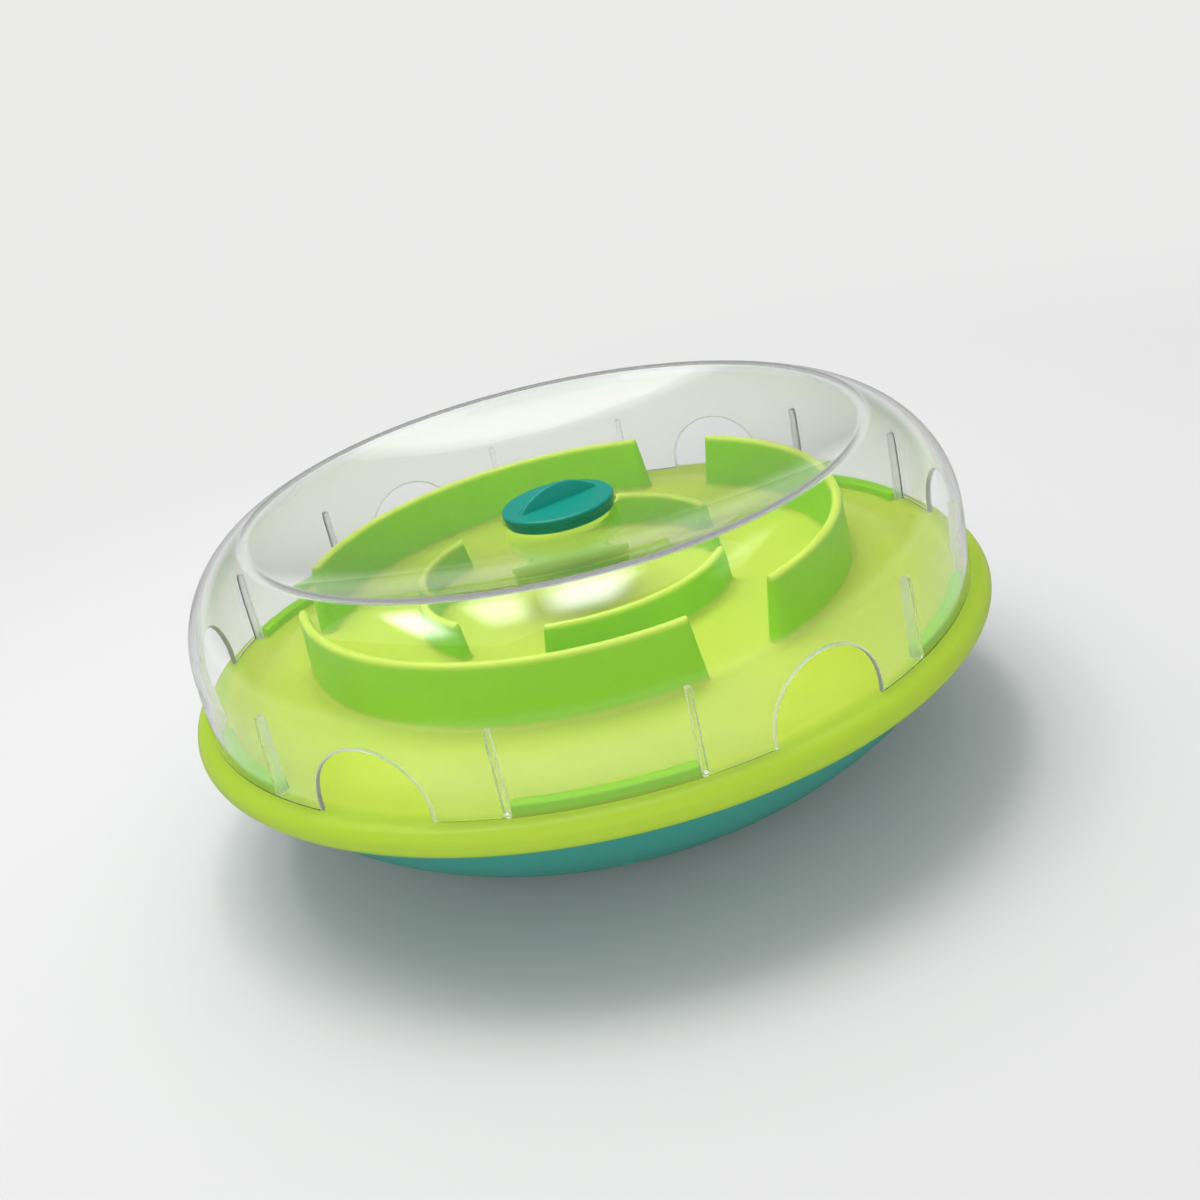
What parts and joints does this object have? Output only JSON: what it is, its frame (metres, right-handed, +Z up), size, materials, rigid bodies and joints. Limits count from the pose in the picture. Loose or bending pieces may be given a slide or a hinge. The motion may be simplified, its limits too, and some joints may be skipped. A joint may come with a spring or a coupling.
{
  "type": "wobble feeder",
  "caption": "Round rocking pet feeder: weighted rocker base, maze tray with a rolled lip, clear lift-off dome with arched outlets and a dished top, and a plug-in fill cap.",
  "frame": {"origin": "centre of the flat foot, on the floor", "axes": "+Z up along the axis of the round body; +X through the middle of one arch of the dome"},
  "size_m": [0.28, 0.28, 0.1153],
  "materials": {
    "teal_shell": "satin moulded plastic, deep teal",
    "lime_tray": "satin moulded plastic, yellow-green",
    "clear_dome": "polished clear plastic",
    "teal_cap": "satin moulded plastic, bright teal",
    "ballast_steel": "plain rolled steel",
    "screw_steel": "zinc-plated steel"
  },
  "bodies": {
    "base": {"base_shell": "teal_shell", "tray": "lime_tray", "ballast_plate": "ballast_steel", "ballast_screws": "screw_steel", "assembly_screws": "screw_steel"},
    "dome": {"dome": "clear_dome"},
    "cap": {"fill_cap": "teal_cap"}
  },
  "joints": [
    {"name": "dome_lift", "type": "slide", "parent": "base", "child": "dome", "axis": [0, 0, 1], "range_m": [0, 0.05]},
    {"name": "cap_pull", "type": "slide", "parent": "dome", "child": "cap", "axis": [0, 0, 1], "range_m": [0, 0.03]}
  ]
}
